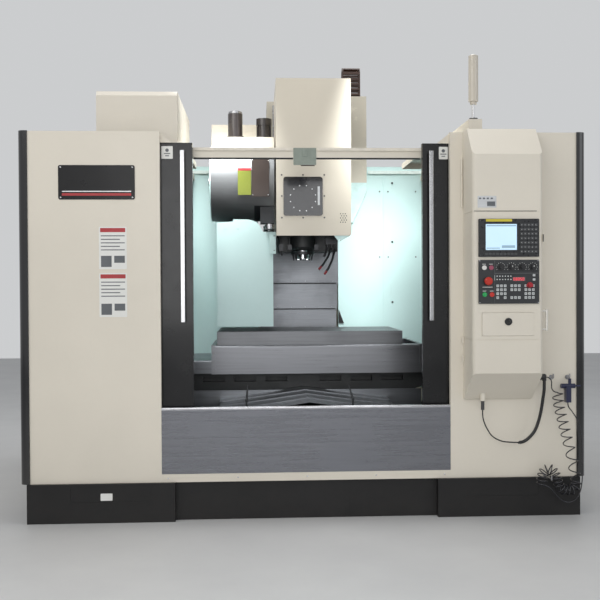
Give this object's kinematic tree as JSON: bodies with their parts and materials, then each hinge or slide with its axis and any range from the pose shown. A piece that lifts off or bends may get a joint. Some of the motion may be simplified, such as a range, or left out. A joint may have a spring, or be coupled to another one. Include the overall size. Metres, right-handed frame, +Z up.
{
  "type": "vertical machining center",
  "caption": "Enclosed vertical machining center with sliding doors, cross slide and T-slot table, milling head, side tool magazine, operator console and signal lamp",
  "frame": {"origin": "on the floor, in the middle of the machine's width and depth, without the free cords", "axes": "+X to the right of someone in front of the doors, +Y from the front to the column, +Z up"},
  "size_m": [3.6, 3.076, 3.2834],
  "materials": {
    "cream_paint": "satin cream powder coat",
    "plinth_paint": "semi-gloss black",
    "gloss_black": "gloss black",
    "mint_paint": "satin mint paint",
    "dark_paint": "satin dark grey",
    "magazine_paint": "satin mid grey",
    "bed_cast": "painted casting",
    "column_cast": "cream painted casting",
    "table_cast": "ground grey iron",
    "slide_cast": "dark painted casting",
    "apron_steel": "brushed stainless sheet",
    "cover_steel": "ground steel plates",
    "guide_steel": "ground guide steel",
    "bright_steel": "polished hardened steel",
    "foot_steel": "zinc plated steel",
    "door_glass": "clear safety glass",
    "window_glass": "dark gloss window",
    "display_black": "black bezel and screen",
    "panel_black": "dark membrane panel",
    "stop_red": "red mushroom head",
    "button_green": "green button",
    "button_red": "red button",
    "button_white": "white button",
    "button_pink": "dark pink button",
    "dial_black": "black knob",
    "lamp_white": "translucent white lens",
    "motor_brown": "gloss dark brown",
    "chain_brown": "brown nylon links",
    "cable_black": "black cable sheath",
    "hose_black": "dark polyurethane hose",
    "gun_blue": "dark blue plastic"
  },
  "bodies": {
    "frame": {"bed": "bed_cast", "levelling_feet": "foot_steel", "base_skirt": "plinth_paint", "chip_pan": "dark_paint", "column": "column_cast", "axis_guides": "guide_steel", "left_cover": "cream_paint", "right_cover": "cream_paint", "corner_trims": "gloss_black", "front_apron": "apron_steel", "front_frame": "cream_paint", "door_tracks": "dark_paint", "rear_guards": "mint_paint", "magazine_casing": "magazine_paint", "tool_arm": "guide_steel", "atc_housing": "cream_paint", "atc_motors": "motor_brown", "magazine_guard": "mint_paint", "z_cover_lower": "cover_steel", "y_cover_front": "cover_steel", "console": "cream_paint", "display_unit": "display_black", "operator_panel": "panel_black", "signal_lamp": "lamp_white", "electrical_cabinet": "cream_paint", "coolant_tank": "dark_paint", "loop_cable": "cable_black", "air_hose": "hose_black", "hose_bunch": "hose_black", "air_gun": "gun_blue"},
    "cross_slide": {"cross_slide": "slide_cast", "x_guides": "guide_steel", "slide_covers": "cover_steel"},
    "table": {"table": "table_cast", "table_guard": "apron_steel"},
    "x_cover_left": {"x_cover_left": "cover_steel"},
    "x_cover_right": {"x_cover_right": "cover_steel"},
    "y_cover_second": {"y_cover_second": "cover_steel"},
    "y_cover_third": {"y_cover_third": "cover_steel"},
    "head": {"head_casting": "slide_cast", "head_cover": "cream_paint", "head_window": "window_glass", "coolant_nozzles": "guide_steel", "z_cover_upper": "cover_steel"},
    "z_cover_middle": {"z_cover_middle": "cover_steel"},
    "spindle": {"spindle": "bright_steel"},
    "cable_chain": {"cable_chain": "chain_brown"},
    "tool_disc": {"tool_disc": "guide_steel"},
    "left_door": {"left_door": "gloss_black", "left_door_glass": "door_glass"},
    "right_door": {"right_door": "gloss_black", "right_door_glass": "door_glass"},
    "emergency_stop": {"emergency_stop": "stop_red"},
    "start_button": {"start_button": "button_green"},
    "stop_button": {"stop_button": "button_red"},
    "power_on_button": {"power_on_button": "button_white"},
    "power_off_button": {"power_off_button": "button_pink"},
    "feed_dial": {"feed_dial": "dial_black"},
    "mode_dial": {"mode_dial": "dial_black"},
    "drawer": {"drawer": "cream_paint"}
  },
  "joints": [
    {"name": "y_axis", "type": "slide", "parent": "frame", "child": "cross_slide", "axis": [0, 1, 0], "range_m": [-0.54, 0.06]},
    {"name": "x_axis", "type": "slide", "parent": "cross_slide", "child": "table", "axis": [1, 0, 0], "range_m": [-0.648, 0.552]},
    {"name": "z_axis", "type": "slide", "parent": "frame", "child": "head", "axis": [0, 0, 1], "range_m": [-0.3, 0.38]},
    {"name": "x_cover_left_slide", "type": "slide", "parent": "cross_slide", "child": "x_cover_left", "axis": [1, 0, 0], "range_m": [-0.43, 0.37]},
    {"name": "x_cover_right_slide", "type": "slide", "parent": "cross_slide", "child": "x_cover_right", "axis": [1, 0, 0], "range_m": [-0.39, 0.335]},
    {"name": "y_cover_second_slide", "type": "slide", "parent": "frame", "child": "y_cover_second", "axis": [0, 1, 0], "range_m": [-0.181, 0.021]},
    {"name": "y_cover_third_slide", "type": "slide", "parent": "frame", "child": "y_cover_third", "axis": [0, 1, 0], "range_m": [-0.361, 0.041]},
    {"name": "z_cover_middle_slide", "type": "slide", "parent": "frame", "child": "z_cover_middle", "axis": [0, 0, 1], "range_m": [-0.151, 0.191]},
    {"name": "cable_chain_slide", "type": "slide", "parent": "frame", "child": "cable_chain", "axis": [0, 0, 1], "range_m": [-0.151, 0.191]},
    {"name": "spindle_axis", "type": "hinge", "parent": "head", "child": "spindle", "pos_m": [0.025, -0.288, 1.7], "axis": [0, 0, 1], "continuous": true},
    {"name": "magazine_axis", "type": "hinge", "parent": "frame", "child": "tool_disc", "pos_m": [-0.4, -0.138, 2.27], "axis": [1, 0, 0], "continuous": true},
    {"name": "left_door_slide", "type": "slide", "parent": "frame", "child": "left_door", "axis": [1, 0, 0], "range_m": [0, 0.735]},
    {"name": "right_door_slide", "type": "slide", "parent": "frame", "child": "right_door", "axis": [1, 0, 0], "range_m": [-0.735, 0]},
    {"name": "emergency_stop_press", "type": "slide", "parent": "frame", "child": "emergency_stop", "axis": [0, 1, 0], "range_m": [0, 0.006], "stiffness_N_per_m": 400},
    {"name": "start_button_press", "type": "slide", "parent": "frame", "child": "start_button", "axis": [0, 1, 0], "range_m": [0, 0.003], "stiffness_N_per_m": 300},
    {"name": "stop_button_press", "type": "slide", "parent": "frame", "child": "stop_button", "axis": [0, 1, 0], "range_m": [0, 0.003], "stiffness_N_per_m": 300},
    {"name": "power_on_button_press", "type": "slide", "parent": "frame", "child": "power_on_button", "axis": [0, 1, 0], "range_m": [0, 0.003], "stiffness_N_per_m": 300},
    {"name": "power_off_button_press", "type": "slide", "parent": "frame", "child": "power_off_button", "axis": [0, 1, 0], "range_m": [0, 0.003], "stiffness_N_per_m": 300},
    {"name": "feed_dial_turn", "type": "hinge", "parent": "frame", "child": "feed_dial", "pos_m": [1.173, -1.5, 1.589], "axis": [0, 1, 0], "range_deg": [-150, 150]},
    {"name": "mode_dial_turn", "type": "hinge", "parent": "frame", "child": "mode_dial", "pos_m": [1.305, -1.5, 1.589], "axis": [0, 1, 0], "range_deg": [-60, 60]},
    {"name": "drawer_slide", "type": "slide", "parent": "frame", "child": "drawer", "axis": [0, -1, 0], "range_m": [0, 0.14]}
  ],
  "couplings": [
    {"joint": "x_cover_left_slide", "follows": "x_axis", "ratio": 0.66},
    {"joint": "x_cover_right_slide", "follows": "x_axis", "ratio": 0.6},
    {"joint": "y_cover_second_slide", "follows": "y_axis", "ratio": 0.33333},
    {"joint": "y_cover_third_slide", "follows": "y_axis", "ratio": 0.66667},
    {"joint": "z_cover_middle_slide", "follows": "z_axis", "ratio": 0.5},
    {"joint": "cable_chain_slide", "follows": "z_axis", "ratio": 0.5}
  ]
}
